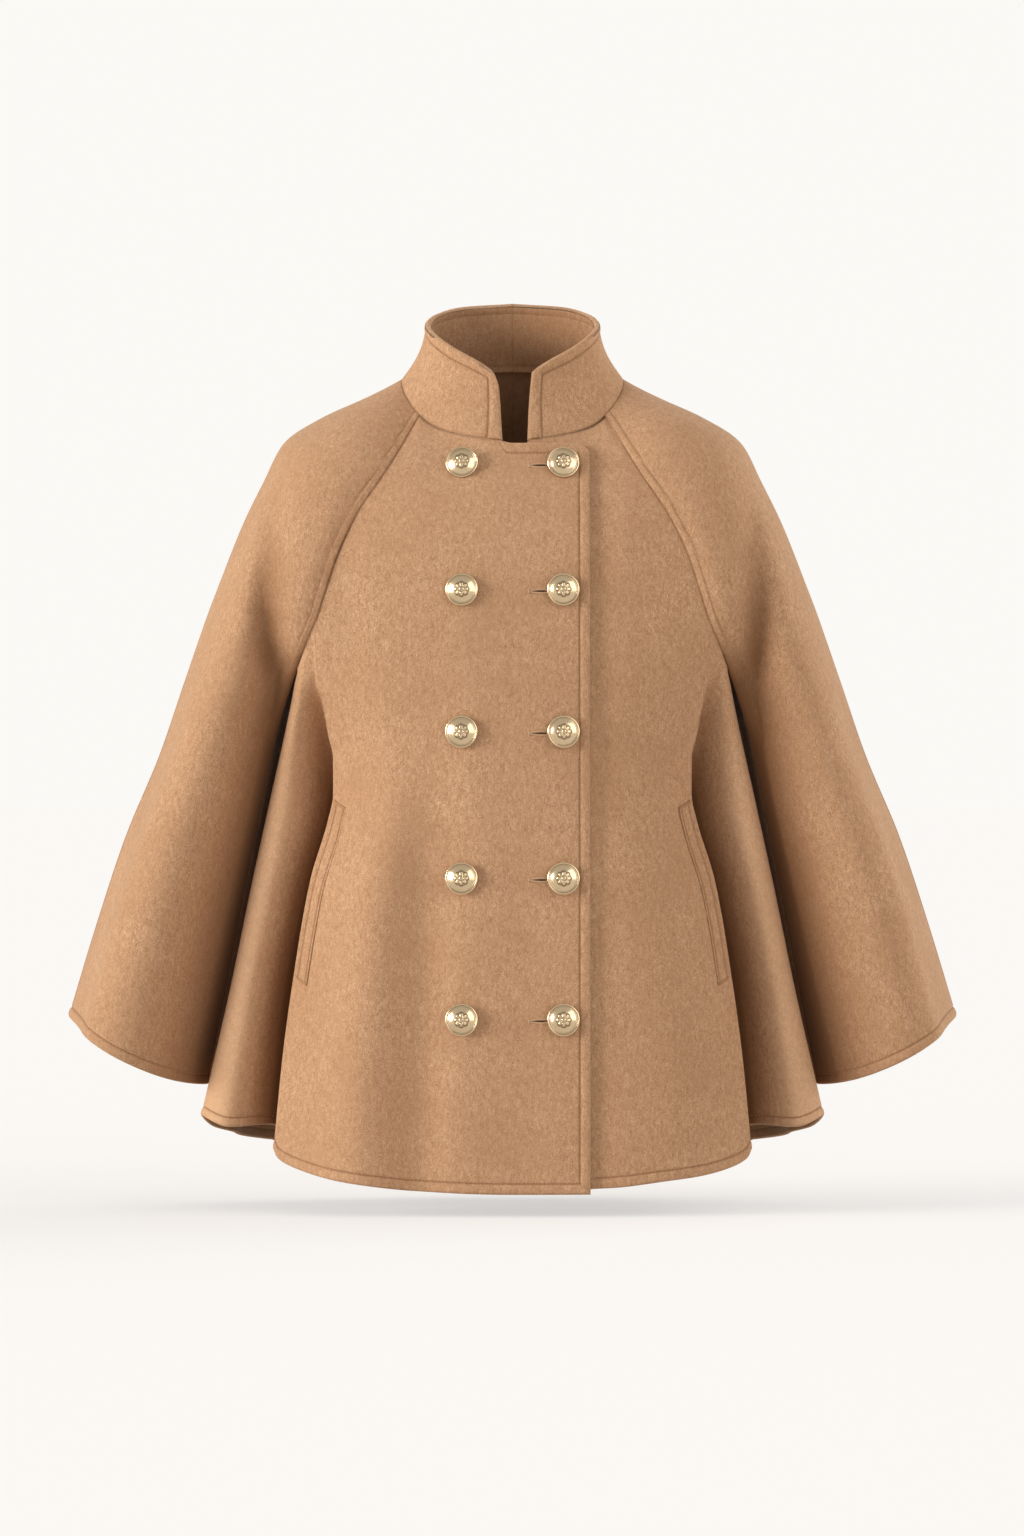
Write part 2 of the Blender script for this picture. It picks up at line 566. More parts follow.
def makeSide(sideName):
    long = form["splitLevel"] - form["hemLevel"]
    drop = spots(nearSeam, nearHem, sideGrid["rows"], long)
    share, level = drop / long, form["splitLevel"] - drop
    lines = [lowerEdges(level)]
    for name in ("valley", "ridge", "fold", "flank", "seam"):
        lines.append(stack(*(smooth(share, sideForm["share"], values) for values in sideForm[name])))
    across = spots(nearSeam / sideGrid["wide"], nearSeam / sideGrid["wide"], sideGrid["columns"], 1.0)
    rows = sectionCurve(across, sideForm["stations"], np.array(lines))
    down = int(len(across) * sideGrid["topShare"])   # columns that hang from the sleeve's edge
    top = sleeveLine("front", np.linspace(sleeveForm["split"], sleeveForm["underarm"], down))
    end = np.array([v[0] for v in sideForm["seam"]])
    rest = top[-1] + (end - top[-1]) * (np.arange(1, len(across) - down + 1) / (len(across) - down))[:, None]
    top = np.concatenate([top, rest])
    fade = (np.maximum(0, 1 - share / sideGrid["topFade"]) ** 2)[:, None, None]
    rows = rows + (top - rows[0])[None] * fade
    sheet = Sheet(rows)
    u, v = [values.ravel() for values in np.broadcast_arrays(across[None, :], share[:, None])]
    soften(sheet, sideLook, u, v)
    stitchedEdge(sheet, sheet.spread((long - drop)[:, None]))
    plainSeam(sheet, sheet.spread(drop[:, None]), strength=0.7)
    plainSeam(sheet, sheet.spread((1 - across[None, :]) * sideGrid["wide"]), strength=0.8)
    lit = painted(sidePaint["lit"], u, v) * (1 - np.clip(sheet.shade, 0, 1))   # light on the fold's face
    sheet.shade = np.maximum(sheet.shade, painted(sidePaint["valley"], u, v)) - lit
    piece = makeCloth(sheet, "side", sideName, (-sides[sideName], -0.2, 0))
    keepStitches(sheet, sheet.main[len(drop) - 1 - bandLine, 4:])
    return piece


# back

toHem = {"v1": 900, "out": 200, "spread": .5}   # a fold that widens down to the hem
backLook = [   # u is millimetres from the centre-back seam, v millimetres below the neck
    {"u0": -62, "u1": -98, "v0": 200, "wide": 27, "deep": 8.0, "in": 330, **toHem},
    {"u0": -108, "u1": -152, "v0": 200, "wide": 22, "deep": -7.5, "in": 300, **toHem},
    {"u0": -20, "u1": -34, "v0": 300, "wide": 20, "deep": -6.0, "in": 330, **toHem},
    {"u0": -150, "u1": -135, "v0": 90, "v1": 300, "wide": 18, "deep": -2.0, "in": 70, "out": 90},
]
backGrid = {"rows": 110, "upperRows": 66, "columns": 60, "wide": 200, "flankColumns": 26}
backCorner = {"deep": 6.0, "wide": 14, "growth": 5}
neckRidge = {"high": 1.4, "wide": 3.0, "line": 5.0}   # the neck seam's allowance, inside


def backPlain(x, z, edgeX, edgeY):
    centre = smooth(z, bodyForm["backZ"], bodyForm["backY"])
    return centre + (edgeY - centre) * np.minimum(1.0, np.abs(x / edgeX)) ** bodyForm["backRound"]


def makeBack(sideName):
    seamLong, grid = sleeveForm["seamLong"], backGrid
    upperShare = np.linspace(nearSeam[-1] / seamLong, sleeveForm["underarm"], grid["upperRows"])[1:]
    upper = sleeveLine("back", np.concatenate([nearSeam / seamLong, upperShare]))
    long = form["underarmLevel"] - form["hemLevel"]
    drop = spots(np.array([0.0]), nearHem, grid["rows"], long)[1:]
    level = form["underarmLevel"] - drop
    lower = stack(*(smooth(level, bodyForm["cornerZ"], bodyForm["corner" + a]) for a in "XY"), level)
    edge = np.concatenate([upper, lower])
    split = len(upper) - 1
    across = spots(nearSeam / grid["wide"], nearSeam / grid["wide"], grid["columns"], 1.0)[None, :]
    neckX, neckY, neckZ = bodyForm["backNeck"]
    down = ((neckZ - edge[:, 2]) / (neckZ - form["hemLevel"]))[:, None]
    base = neckRing(180 - neckTurn(neckX * across))
    end = smooth(bodyForm["backHemX"][0] * across, bodyForm["backHemX"], bodyForm["backHemZ"])
    z = base[..., 2] * (1 - down) + end * down
    x = edge[:, :1] * across
    atNeck = backPlain(base[..., 0], base[..., 2], neckX, neckY)
    y = backPlain(x, z, edge[:, :1], edge[:, 1:2])
    y = y + (base[..., 1] - atNeck) * np.exp(-np.maximum(0.0, base[..., 2] - z) / form["neckBlend"])
    rows = stack(x, y, z)
    rows[0] = base[0]
    rows[:, -1] = edge

    # below the underarm the sheet turns the corner and runs on to the side seam
    corner = rows[split:, -1]
    share = np.maximum(0.0, (corner[:, 2] - form["underarmLevel"]) / -long)
    seamLine = stack(*(smooth(share, sideForm["share"], values) for values in sideForm["seam"]))
    t = np.linspace(0, 1, grid["flankColumns"])[None, :]
    flank = corner[:, None] + (seamLine - corner)[:, None] * t[..., None]
    flank[..., 0] -= bodyForm["flankRound"] * np.sin(math.pi * t) * share[:, None]
    sheet = Sheet(rows[:, ::-1], flank, split)
    count = sheet.main.size
    isMain = np.arange(len(sheet.points)) < count
    hemDistance = np.concatenate([np.full(split + 1, far), long - drop])
    fromHem = sheet.spread(hemDistance[:, None])
    fromHem[count:] = np.repeat(hemDistance[split:], grid["flankColumns"] - 1)
    soften(sheet, backLook, np.where(isMain, sheet.points[:, 0], 500.0), -sheet.points[:, 2])
    toCorner = np.full(sheet.main.shape, far)
    toCorner[split:] = ((1 - across) * np.abs(edge[split:, :1]))[:, ::-1]
    reach = np.linalg.norm(seamLine - corner, axis=1)[:, None]
    toCorner = np.concatenate([toCorner.ravel(), (t[:, 1:] * reach).ravel()])
    grown = ease(share * backCorner["growth"])
    grown = np.concatenate([np.repeat(np.concatenate([np.zeros(split), grown]), rows.shape[1]),
                            np.repeat(grown, grid["flankColumns"] - 1)])
    sunk = backCorner["deep"] * bell(toCorner / backCorner["wide"]) * grown   # rounds the corner off
    sheet.relief -= sunk
    sheet.inside += sunk
    stitchedEdge(sheet, fromHem)
    fromTop = sheet.spread((z[:1] - z)[:, ::-1])
    fromCentre = np.where(isMain, np.abs(sheet.points[:, 0]), far)
    besideSleeve = np.arange(len(edge))[:, None] <= split
    fromSleeve = np.where(besideSleeve, (1 - across) * np.abs(edge[:, :1]), far)
    plainSeam(sheet, fromTop)
    plainSeam(sheet, fromCentre)
    plainSeam(sheet, sheet.spread(fromSleeve[:, ::-1]))
    sheet.inside += neckRidge["high"] * bell(fromTop / neckRidge["wide"])
    for distance, wide, dark in ((fromTop - neckRidge["line"], 1.2, 0.8), (fromCentre, 1.0, 0.9)):
        sheet.insideShade = np.maximum(sheet.insideShade, dark * bell(distance / wide))
    piece = makeCloth(sheet, "back", sideName, (0, 1, 0))
    hemRow = len(edge) - 1 - bandLine
    keepStitches(sheet, sheet.main[hemRow, :-2])
    keepStitches(sheet, sheet.extra[hemRow - split, 1:-2])
    return piece


# sleeves

sleeveLook = {   # u is the share across from the seam to the overarm, v the share down the sleeve
    "front": [
        {"u0": .36, "u1": .28, "v0": .28, "v1": 1.7, "wide": .22, "deep": 8.0, "in": .35, "out": .5},
        {"u0": .80, "u1": .76, "v0": .34, "v1": 1.7, "wide": .15, "deep": -4.5, "in": .35, "out": .5},
        {"u0": .64, "u1": .56, "v0": .52, "v1": 1.7, "wide": .07, "deep": 1.6, "in": .25, "out": .5},
        {"u0": .16, "u1": .10, "v0": .12, "v1": .36, "wide": .07, "deep": 1.4, "in": .1, "out": .1},
    ],
    "back": [
        {"u0": .45, "u1": .60, "v0": .36, "v1": 1.5, "wide": .13, "deep": 6.0, "in": .3, "out": .4},
        {"u0": .22, "u1": .32, "v0": .56, "v1": 1.5, "wide": .10, "deep": -4.0, "in": .25, "out": .4},
        {"u0": .78, "u1": .86, "v0": .50, "v1": 1.5, "wide": .08, "deep": -2.0, "in": .3, "out": .4},
    ],
}
sleeveGrid = {"rows": 94, "upperRows": 66, "columns": 56, "wide": 190, "innerColumns": 22}
sleevePaint = {"at": 0, "wide": 0.21, "strength": 1.15, "from": 0.34, "fade": 0.12}   # beside the side fold


def makeSleeve(sideName, half):
    s, grid, seamLong = sleeveForm, sleeveGrid, sleeveForm["seamLong"]
    upper = np.linspace(nearSeam[-1] / seamLong, s["underarm"], grid["upperRows"])[1:]
    lower = spots(np.array([0.0]), nearHem, grid["rows"], (1 - s["underarm"]) * s["length"])[1:]
    share = np.concatenate([nearSeam / seamLong, upper, lower / s["length"] + s["underarm"]])
    start = len(nearSeam) + len(upper) - 1
    edge, over = sleeveLine(half, share)[:, None], sleeveLine("over", share)[:, None]
    bulge = smooth(share, s["share"], s[half + "Bulge"])[:, None]
    valley = smooth(share, s["valleyShare"], s[half + "Valley"])[:, None]
    valleyLine = smooth(share, s["valleyShare"], s["valleyAcross"])[:, None]
    seamSide, overSide = nearWelt / grid["wide"], 1 - nearSeam[::-1] / grid["wide"]
    middle = np.linspace(seamSide[-1], overSide[0], grid["columns"])[1:-1]
    t = np.concatenate([seamSide, middle, overSide])[None, :]
    turn = t * math.pi / 2
    sign = -1 if half == "front" else 1
    x = edge[..., 0] + (over[..., 0] - edge[..., 0]) * np.sin(turn)
    y = over[..., 1] + (edge[..., 1] - over[..., 1]) * np.cos(turn) + sign * bulge * np.sin(math.pi * t)
    y = y - sign * valley * bell((t - valleyLine) / s["valleyWide"]) * ease(t / s["valleyEdge"])
    z = edge[..., 2] + (over[..., 2] - edge[..., 2]) * np.sin(turn) ** (1 + s["lift"] * share[:, None])
    rows = stack(x, y, z)
    angles = form["seamAngle"][half] + (form["seamAngle"]["over"] - form["seamAngle"][half]) * t[0]
    nearNeck = np.maximum(0, 1 - share / s["shoulder"]) ** 2
    rows += (neckRing(angles) - rows[0])[None] * nearNeck[:, None, None]

    # below the underarm the sheet runs on inwards to the sleeve's own seam
    seamLine = stack(*(smooth(share[start:], s["seamShare"], s["seam" + a]) for a in "XYZ"))
    w = np.linspace(0, 1, grid["innerColumns"])[None, :, None]
    inner = rows[start:, :1] + (seamLine[:, None] - rows[start:, :1]) * w
    bend = s["innerRound"] + s["innerGrowth"] * (share[start:, None] - s["underarm"])
    inner[..., 0] -= np.sin(math.pi * w[..., 0]) * bend
    sheet = Sheet(rows, inner, start)
    down = [np.repeat(share, rows.shape[1]), np.repeat(share[start:], grid["innerColumns"] - 1)]
    down = np.concatenate(down)
    soften(sheet, sleeveLook[half], sheet.spread(t, -9.0), down)
    stitchedEdge(sheet, (1 - down) * s["length"])
    stepped = np.linalg.norm(np.diff(rows, axis=1), axis=2)
    fromSeam = np.concatenate([np.zeros((len(share), 1)), np.cumsum(stepped, axis=1)], 1)
    fromOver = fromSeam[:, -1:] - fromSeam
    fromSeam[start + 1:] = far
    weltSeam(sheet, sheet.spread(fromSeam))
    besideFold = painted(sleevePaint, sheet.spread(t, 9.0), down)
    inValley = s["valleyDark"] * bell((t - valleyLine) / s["valleyDarkWide"]) * valley
    sheet.shade = np.maximum.reduce([sheet.shade, besideFold, sheet.spread(inValley, 0.0)])
    plainSeam(sheet, sheet.spread(share[:, None] * seamLong))
    plainSeam(sheet, sheet.spread(fromOver), strength=0.8)
    piece = makeCloth(sheet, "sleeve_" + half, sideName, (0, sign, 0))
    hemRow = len(share) - 1 - bandLine
    keepStitches(sheet, sheet.main[hemRow, 1:-1])
    keepStitches(sheet, sheet.extra[hemRow - start, 1:])
    column = np.argmin(np.abs(fromSeam[:start + 1] - weltLook["line"]), axis=1)
    keepStitches(sheet, sheet.main[np.arange(3, start + 1), column[3:]])
    return piece


# collar

collarLook = {
    "high": 60.0, "long": 200.0, "columns": 86, "rows": 22, "puff": 1.1, "corner": 8, "ridge": 1.5,
    "ridgeWide": 3.2, "insideDark": 0.5, "underlapFrom": 0.1, "underlapWide": 0.3,
}


def makeCollar(sideName):
    baseStart, rimStart = form["gapAngle"][sideName]
    high, long = collarLook["high"], collarLook["long"]
    across = (spots(nearHem, nearSeam, collarLook["columns"], long) / long)[None, :]
    up = (spots(nearSeam, nearHem, collarLook["rows"], high) / high)[:, None]
    low = neckRing(baseStart + (180 - baseStart) * across)
    top = rimRing(rimStart + (180 - rimStart) * across)
    rows = low + (top - low) * up[..., None]
    rows[..., 2] += form["collarLift"] * (1 - up)
    rows[..., :2] *= (1 - form["pinch"] * np.sin(math.pi * up))[..., None]
    if sideName == "left":
        toSide = ease((across - collarLook["underlapFrom"]) / collarLook["underlapWide"])
        rows[..., 1] += underlap(rows[..., 0]) * (1 - toSide)
    sheet = Sheet(rows)
    share, rise = [values.ravel() for values in np.broadcast_arrays(across, up)]
    fromFront, fromCentre = share * long, (1 - share) * long
    fromBase, fromTop = rise * high, (1 - rise) * high
    stitched = roundCorner(fromTop, fromFront, collarLook["corner"])
    stitched[(rise == 1) | (share == 0)] = 0
    stitchedEdge(sheet, stitched, collarLook["puff"])
    plainSeam(sheet, np.where(share > 0, fromBase, far))
    plainSeam(sheet, fromCentre)
    sheet.insideShade[:] = collarLook["insideDark"]
    sheet.inside += collarLook["ridge"] * bell(fromBase / collarLook["ridgeWide"])
    for distance, wide, dark in ((fromCentre, 0.8, 0.9), (fromBase - 6.0, 1.0, 0.7),
                                 (stitched - band["width"], 0.6, 0.9)):
        sheet.insideShade = np.maximum(sheet.insideShade, dark * bell(distance / wide))
    piece = makeCloth(sheet, "collar", sideName, (-sides[sideName], 0, 0))
    topRow = len(up) - 1 - bandLine
    keepStitches(sheet, sheet.main[topRow, bandLine:-2])
    keepStitches(sheet, sheet.main[3:topRow + 1, bandLine])
    return piece


for sideName in sides:
    clothPieces += [makeFront(sideName), makeSide(sideName), makeBack(sideName), makeCollar(sideName)]
    clothPieces += [makeSleeve(sideName, "front"), makeSleeve(sideName, "back")]
print("cloth sheets made", len(clothPieces))


# what lies on the front: pocket welts, buttonholes and stitches

closePoints = {"count": 5, "evened": 1.5}   # the cloth's points that a place on it is worked out from


def onCloth(sheet, x, z, lift=0.0):   # points and normals on a built front at given x and z
    points, normals = [], []
    for a, b in zip(np.atleast_1d(x), np.atleast_1d(z)):
        gap = (sheet.outer[:, 0] - a) ** 2 + (sheet.outer[:, 2] - b) ** 2
        near = np.argpartition(gap, closePoints["count"])[:closePoints["count"]]
        weight = 1 / (gap[near] + closePoints["evened"]) ** 2
        weight = weight / weight.sum()
        base, normal = sheet.outer[near], sheet.normal[near]
        rise = normal[:, 0] * (a - base[:, 0]) + normal[:, 2] * (b - base[:, 2])
        level = base[:, 1] - rise / normal[:, 1]
        normals.append(unit((normal * weight[:, None]).sum(0)))
        points.append(np.array([a, (level * weight).sum(), b]) + normals[-1] * lift)
    return np.array(points), np.array(normals)


def ringFaces(rings, around, closed=False):   # quads between rings of points, one after another
    i = np.arange(rings if closed else rings - 1)[:, None] * around
    j = np.arange(around)[None, :]
    k = (j + 1) % around
    after = (i + around) % (rings * around)
    return np.stack([i + j, i + k, after + k, after + j], -1).reshape(-1, 4)


def tube(points, normals, radius, around=8, flatness=1.0, closed=False):   # tube along a line of points
    points, radius = np.asarray(points), np.broadcast_to(radius, len(points))
    if closed:
        along = unit(np.roll(points, -1, 0) - np.roll(points, 1, 0))
    else:
        along = unit(np.gradient(points, axis=0))
    across = unit(np.cross(along, normals))
    turn = np.linspace(0, 2 * math.pi, around, endpoint=False)
    ring = (across[:, None] * np.cos(turn)[None, :, None]
            + normals[:, None] * (flatness * np.sin(turn))[None, :, None]) * radius[:, None, None]
    return (points[:, None] + ring).reshape(-1, 3), ringFaces(len(points), around, closed)


def alongLine(at, places, values):   # values given at places along a line, read at others
    return np.stack([np.interp(at, places, values[:, k]) for k in range(3)], -1)


def joined(parts):
    points, faces, start = [], [], 0
    for p, f in parts:
        points.append(p)
        faces.append(f + start)
        start += len(p)
    return np.concatenate(points), np.concatenate(faces)


stitchLook = {   # share, rise and thick are the places along one stitch, and its height and thickness there
    "first": 0.6, "pitch": 3.5, "long": 2.6, "radius": 0.3, "around": 6,
    "share": np.array((0, 0.12, 0.5, 0.88, 1)), "rise": np.array((-0.15, 0.1, 0.2, 0.1, -0.15)),
    "thick": np.array((0.3, 0.85, 1, 0.85, 0.3)),
}
barLook = {
    "steps": 60, "radius": 0.85, "wave": 0.16, "rise": 0.15, "flatness": 0.7, "end": 0.4, "endSlope": 6,
}
welt = {
    "from": 0.15, "inner": (0.3, 0.32), "outer": (0.78, 0.8), "to": 0.95, "column": 12.35, "rows": 90,
    "top": 0.334, "end": 0.668, "high": 1.15, "inset": 1.7, "groove": 0.3, "grooveWide": 0.6,
    "dark": 0.7, "darkWide": 0.5, "edgeDark": 0.6, "edgeWide": 0.3,
}
hole = {
    "from": 14.4, "to": 33.0, "drop": 1.2, "high": 1.55, "keyhole": 0.25, "thread": 0.85, "wave": 0.14,
    "count": 150, "bar": 2.3, "barThick": 0.7, "barSteps": 9, "slit": 0.75, "slitInset": 2, "slitSteps": 40,
    "rimLift": 0.12, "barLift": 0.1, "slitLift": 0.14, "barOut": 0.3, "flatness": 0.85,
}
buttonColumns = {"outer": -43.5, "inner": 43.5}
buttonHeights = (-73.5, -183.5, -306.0, -432.0, -553.0)
barTacks = []


def stitchTubes(points, normals):   # one short rounded tube for each stitch along a line
    places = np.concatenate([[0], np.cumsum(np.linalg.norm(np.diff(points, axis=0), axis=1))])
    parts = []
    for start in np.arange(stitchLook["first"], places[-1] - stitchLook["long"], stitchLook["pitch"]):
        at = start + stitchLook["long"] * stitchLook["share"]
        n = unit(alongLine(at, places, normals))
        p = alongLine(at, places, points) + n * stitchLook["rise"][:, None]
        parts.append(tube(p, n, stitchLook["radius"] * stitchLook["thick"], stitchLook["around"]))
    return parts


def barTubes(points, normals, radius=barLook["radius"]):   # a thick bar of close stitches
    at = np.linspace(0, 1, barLook["steps"])
    places = np.linspace(0, 1, len(points))
    n = unit(alongLine(at, places, normals))
    wave = 1 + barLook["wave"] * np.cos(np.arange(barLook["steps"]) * math.pi)
    ends = np.minimum(1, barLook["end"] + barLook["endSlope"] * np.minimum(at, 1 - at))
    p = alongLine(at, places, points) + n * barLook["rise"]
    return tube(p, n, radius * wave * ends, flatness=barLook["flatness"])


def makeWelt(sideName):
    span = form["splitLevel"] - form["hemLevel"]
    levels = form["splitLevel"] - span * np.linspace(welt["top"], welt["end"], welt["rows"])
    edges = lowerEdges(levels)
    innerX = form["lapEdge"] if sideName == "right" else form["underlapEdge"]
    steps = [np.linspace(welt["from"], welt["inner"][0], 5),
             np.linspace(welt["inner"][1], welt["outer"][0], 7),
             np.linspace(welt["outer"][1], welt["to"], 5)]
    places = welt["column"] * np.concatenate(steps)
    sheet = Sheet(frontSurface(sideName, edges, places[None, :] / (innerX - edges[:, :1])))
    fromLong = np.minimum(places - places[0], places[-1] - places)[None, :]
    fromEnd = np.minimum(levels[0] - levels, levels - levels[-1])[:, None]
    distance = sheet.spread(np.minimum(fromLong, fromEnd))
    sheet.relief += welt["high"] - welt["groove"] * bell((distance - welt["inset"]) / welt["grooveWide"])
    sheet.shade = welt["dark"] * bell((distance - welt["inset"]) / welt["darkWide"])
    sheet.shade = sheet.shade + welt["edgeDark"] * bell(distance / welt["edgeWide"])
    sheet.free[:] = distance < band["rim"]
    piece = makeCloth(sheet, "pocket_welt", sideName, (0, -1, 0))
    for column in (nearest(places, places[0] + welt["inset"]), nearest(places, places[-1] - welt["inset"])):
        keepStitches(sheet, sheet.main[2:-2, column])
    for row in (1, -2):
        tack = sheet.main[row, 1:-1]
        barTacks.append((sheet.outer[tack], sheet.normal[tack]))
    return piece


def makeButtonholes():
    cloth = frontSheet["right"]
    rims, slits = [], []
    turn = np.linspace(0, 2 * math.pi, hole["count"], endpoint=False)
    wave = 1 + hole["wave"] * np.cos(np.arange(hole["count"]) * math.pi)
    middle, half = (hole["from"] + hole["to"]) / 2, (hole["to"] - hole["from"]) / 2
    s = np.linspace(-1, 1, hole["slitSteps"])
    slitX, gape = middle + (half - hole["slitInset"]) * s, hole["slit"] * (1 - s * s)
    i = np.arange(hole["slitSteps"] - 1)
    slitFaces = np.stack([i, i + hole["slitSteps"], i + hole["slitSteps"] + 1, i + 1], 1)
    for height in buttonHeights:
        z = height - hole["drop"]
        rimZ = z + hole["high"] * np.sin(turn) * (1 + hole["keyhole"] * np.cos(turn))
        p, n = onCloth(cloth, middle + half * np.cos(turn), rimZ, hole["rimLift"])
        rims.append(tube(p, n, hole["thread"] * wave, flatness=hole["flatness"], closed=True))
        barX = np.full(hole["barSteps"], hole["from"] - hole["barOut"])
        barZ = z + np.linspace(-hole["bar"], hole["bar"], hole["barSteps"])
        rims.append(barTubes(*onCloth(cloth, barX, barZ, hole["barLift"]), hole["barThick"]))
        edges = [onCloth(cloth, slitX, z + gape * sign, hole["slitLift"])[0] for sign in (1, -1)]
        slits.append((np.concatenate(edges), slitFaces))
    rimPiece = addPiece("buttonhole_rims", *joined(rims), "wool")
    return rimPiece, addPiece("buttonhole_slits", *joined(slits), "wool")


for sideName in sides:
    clothPieces.append(makeWelt(sideName))
rimPiece, slitPiece = makeButtonholes()
allStitches = [part for line in stitchLines for part in stitchTubes(*line)]
threadPieces = [addPiece("stitches", *joined(allStitches), "wool"),
                addPiece("bar_tacks", *joined([barTubes(*bar) for bar in barTacks]), "wool")]
print("stitches made", len(allStitches))


# buttons: turned shank buttons with a rolled rim, a fine ring and a domed face with an eight-petal rosette

button = {
    "rim": ((2.2, 0), (2.4, 1.2), (2.5, 2.5), (3.4, 2.8), (8.5, 2.9), (12.3, 3.0), (13.3, 3.2), (13.8, 3.6),
            (14.0, 4.1), (14.0, 4.6), (13.85, 5.0), (13.5, 5.25), (13.1, 5.35), (12.7, 5.25), (12.45, 5.0),
            (12.25, 4.85), (12.0, 4.95), (11.8, 5.15), (11.55, 5.2), (11.35, 5.05), (11.2, 4.8)),
    "grooves": ((12.3, 0.3), (11.1, 0.25)),   # radius and width of each dark line in the rim
    "domeReach": 11.0, "domeBase": 4.8, "domeHigh": 3.4, "domeRound": 2.4, "rings": 34, "around": 96,
    "lift": 0.4, "lean": 0.5,
}
flower = {   # on the dome: its petals with a vein in each, a boss in the middle and a ring round the boss
    "petals": 8, "petalIn": 2.4, "petalOut": 6.4, "petalRound": 0.55, "petalEdge": 0.9, "raised": 0.6,
    "veinFrom": 2, "veinFade": 1.5, "veinWide": 0.02, "veinDeep": 0.25,
    "boss": 1.5, "bossEdge": 0.4, "bossFade": 0.5, "bossHigh": 0.25,
    "ringAway": 0.6, "ringWide": 0.35, "ringDeep": 0.7, "ringDark": 0.8,
    "outlineAway": 0.25, "outlineWide": 0.5, "recess": 7.2, "recessFade": 0.8, "recessDark": 0.6,
}


def rosette(face, turn):   # height and darkness of the dome at radii and turns
    f = flower
    petal = np.abs(np.cos(f["petals"] / 2 * turn))
    reach = f["petalIn"] + (f["petalOut"] - f["petalIn"]) * petal ** f["petalRound"]
    inPetal = ease((reach - face) / f["petalEdge"])
    vein = bell((1 - petal) / f["veinWide"]) * ease((face - f["veinFrom"]) / f["veinFade"]) * inPetal
    boss = ease((f["boss"] + f["bossEdge"] - face) / f["bossFade"])
    ringLine = bell((face - f["boss"] - f["ringAway"]) / f["ringWide"])
    fallen = (face / button["domeReach"]) ** button["domeRound"]
    height = button["domeBase"] + button["domeHigh"] * (1 - fallen)
    high = inPetal * (1 - f["veinDeep"] * vein) - f["ringDeep"] * ringLine + f["bossHigh"] * boss
    height = height + f["raised"] * high
    outline = bell((reach - face + f["outlineAway"]) / f["outlineWide"])
    recess = f["recessDark"] * (1 - inPetal) * ease((f["recess"] - face) / f["recessFade"])
    return height, np.clip(outline + f["ringDark"] * ringLine + recess, 0, 1)


def makeButton(name, x, z):
    around, rim = button["around"], np.array(button["rim"])
    turn = np.linspace(0, 2 * math.pi, around, endpoint=False)[None, :]
    face = np.linspace(button["domeReach"], 0.05, button["rings"])[:, None]
    height, shade = rosette(face, turn)
    rimShade = sum(bell((rim[:, 0] - radius) / wide) for radius, wide in button["grooves"])
    shade = np.concatenate([np.clip(np.repeat(rimShade, around), 0, 1), shade.ravel()])
    radius = np.concatenate([rim[:, :1], face])
    level = np.concatenate([np.repeat(rim[:, 1:], around, axis=1), height])
    local = stack(radius * np.cos(turn), radius * np.sin(turn), level).reshape(-1, 3)
    seatNormal = frontNormal(x, z)
    normal = unit(seatNormal * np.array([1, 1, button["lean"]]))
    across = unit(np.cross(np.array([0, 0, 1.0]), normal))
    up = np.cross(normal, across)
    seat = np.array([x, float(frontY(x, z)), z]) + seatNormal * (button["lift"] + abs(seatNormal[2]))
    points = seat + local[:, :1] * across + local[:, 1:2] * up + local[:, 2:] * normal
    return addPiece(name + "_metal", points, ringFaces(len(radius), around), "brass", name, shade)


buttonPieces = []
for column, x in buttonColumns.items():
    for number, z in enumerate(buttonHeights, 1):
        buttonPieces.append(makeButton("button_" + column + "_" + str(number), x, z))
print("buttons made", len(buttonPieces))


# shader maths written as expressions

class Socket:
    def __init__(self, graph, link):
        self.graph, self.link = graph, link

    def maths(self, operation, first, second=None):
        values = {0: first} if second is None else {0: first, 1: second}
        return self.graph.node("ShaderNodeMath", {"operation": operation}, values)

    def __add__(self, other):
        return self.maths("ADD", self, other)

    def __radd__(self, other):
        return self.maths("ADD", other, self)

    def __sub__(self, other):
        return self.maths("SUBTRACT", self, other)

    def __rsub__(self, other):
        return self.maths("SUBTRACT", other, self)

    def __mul__(self, other):
        return self.maths("MULTIPLY", self, other)

    def __rmul__(self, other):
        return self.maths("MULTIPLY", other, self)


